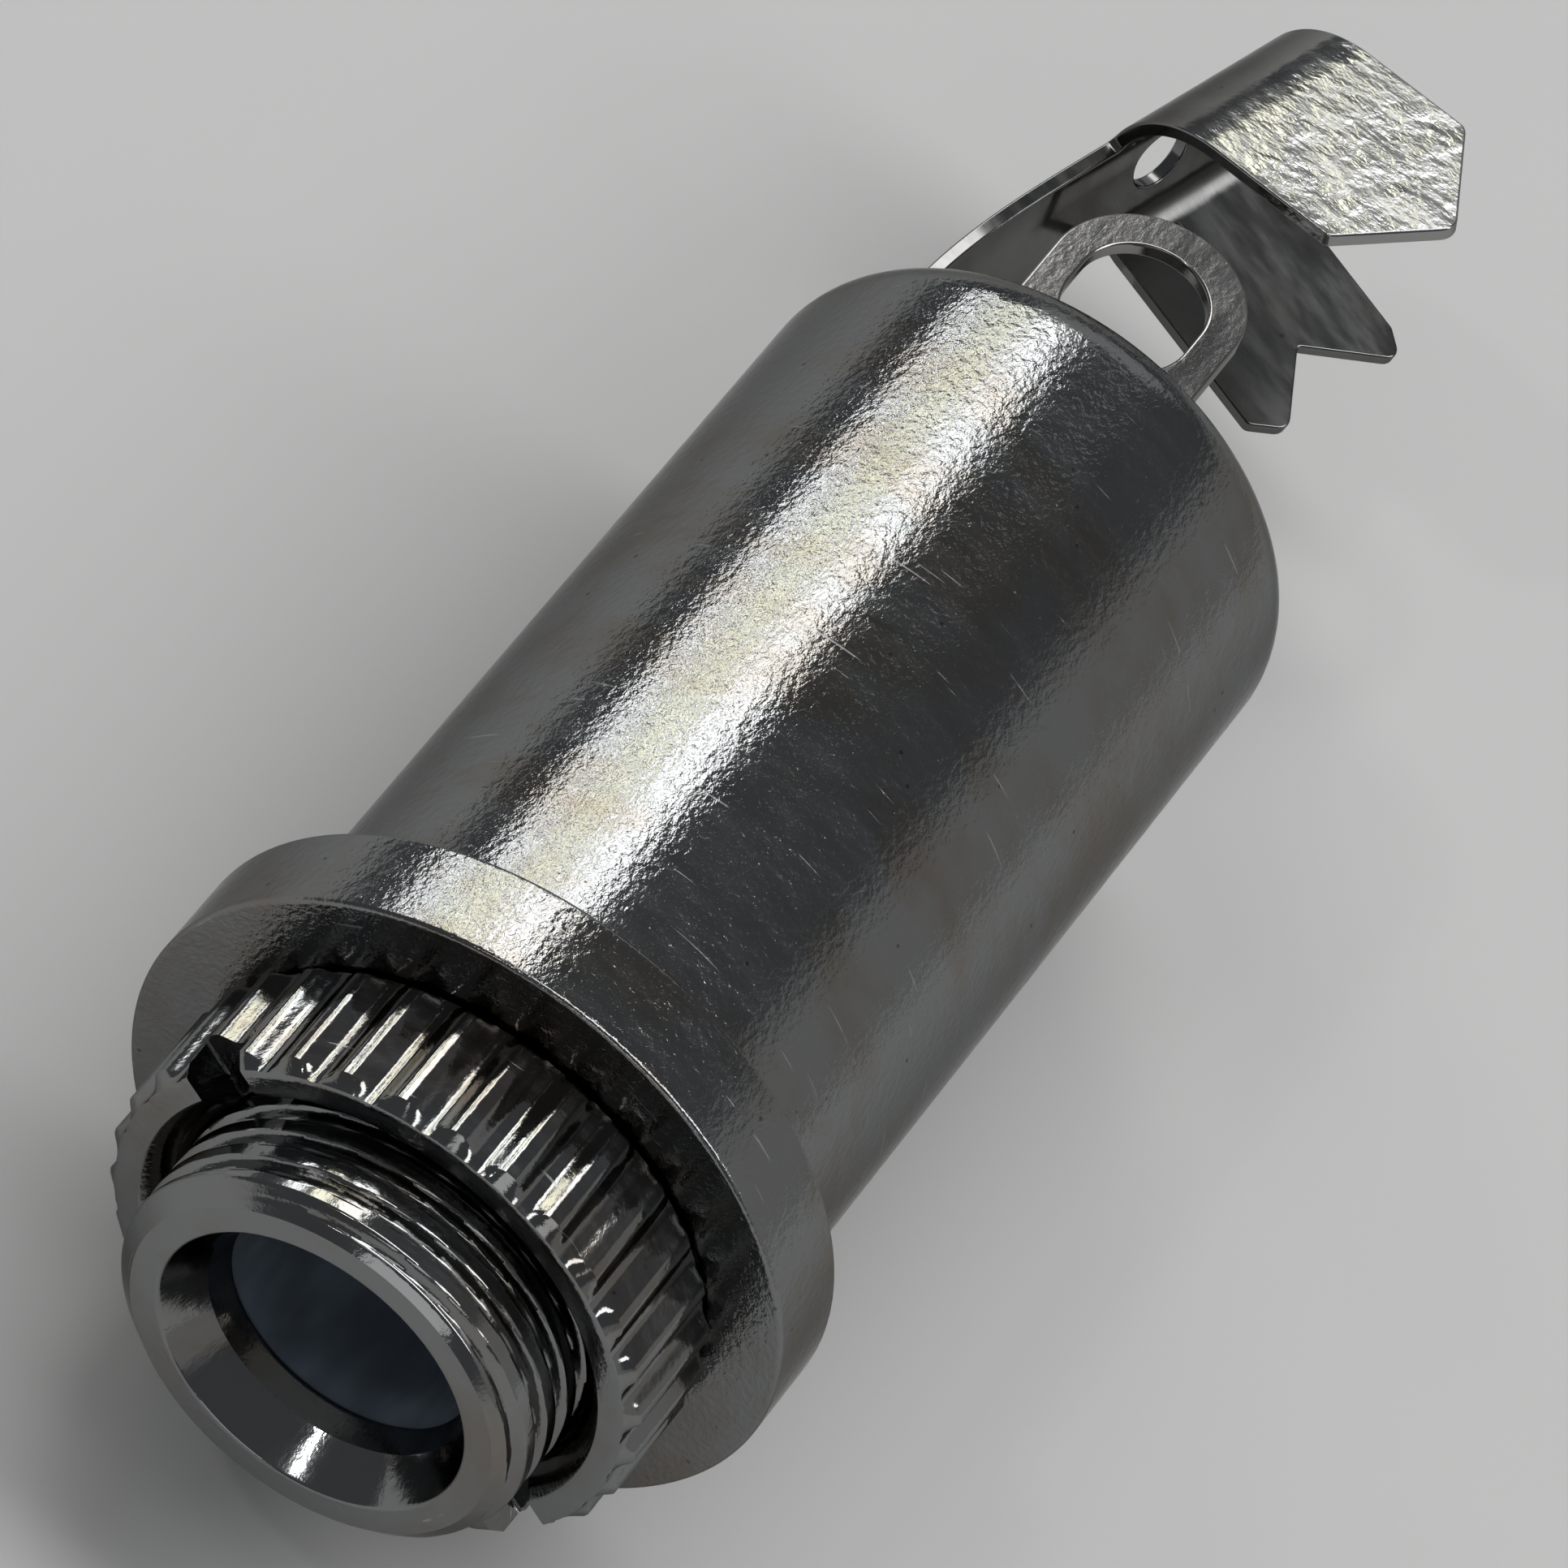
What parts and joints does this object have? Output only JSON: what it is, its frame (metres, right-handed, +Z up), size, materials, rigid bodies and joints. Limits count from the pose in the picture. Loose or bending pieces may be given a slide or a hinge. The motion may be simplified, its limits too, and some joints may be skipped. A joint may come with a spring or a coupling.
{
  "type": "panel-mount audio jack socket",
  "caption": "Small panel-mount audio jack socket: threaded nose with knurled ring nut, flange, barrel, solder eyelet and fold-over cable clamp.",
  "frame": {"origin": "centre of the flange's front face, which bears on the back of the panel", "axes": "+Y along the jack's axis from the nose to the cable clamp, so the plug enters toward +Y; +Z up as the socket lies, with the tip contact and the solder eyelet on that side, rolled 11.7 degrees about Y"},
  "size_m": [0.0098, 0.0272, 0.0098],
  "materials": {
    "front_bushing": "nickel-plated, turned, satin",
    "mounting_nut": "nickel-plated, knurled",
    "barrel_can": "nickel-plated, drawn, brushed round",
    "plug_guide": "moulded black",
    "insulating_liner": "plain black sleeve",
    "contact_block": "moulded black",
    "tip_lug": "tinned, stamped",
    "tip_spring": "spring bronze, rolled",
    "contact_rivet": "tinned",
    "earth_clamp": "tinned sheet, stamped and folded, scratched"
  },
  "bodies": {
    "socket": {"front_bushing": "front_bushing", "barrel_can": "barrel_can", "plug_guide": "plug_guide", "insulating_liner": "insulating_liner", "contact_block": "contact_block", "tip_lug": "tip_lug", "contact_rivet": "contact_rivet", "earth_clamp": "earth_clamp"},
    "nut": {"mounting_nut": "mounting_nut"},
    "contact": {"tip_spring": "tip_spring"}
  },
  "joints": [
    {"name": "nut_turn", "type": "hinge", "parent": "socket", "child": "nut", "pos_m": [0, -0.00107, 0], "axis": [0, -1, 0], "continuous": true},
    {"name": "contact_lift", "type": "hinge", "parent": "socket", "child": "contact", "pos_m": [-0.00044, 0.0139, 0.00212], "axis": [-0.9792, 0, -0.2028], "range_deg": [0, 8], "stiffness_Nm_per_rad": 0.0002, "springref_deg": -2.86}
  ]
}
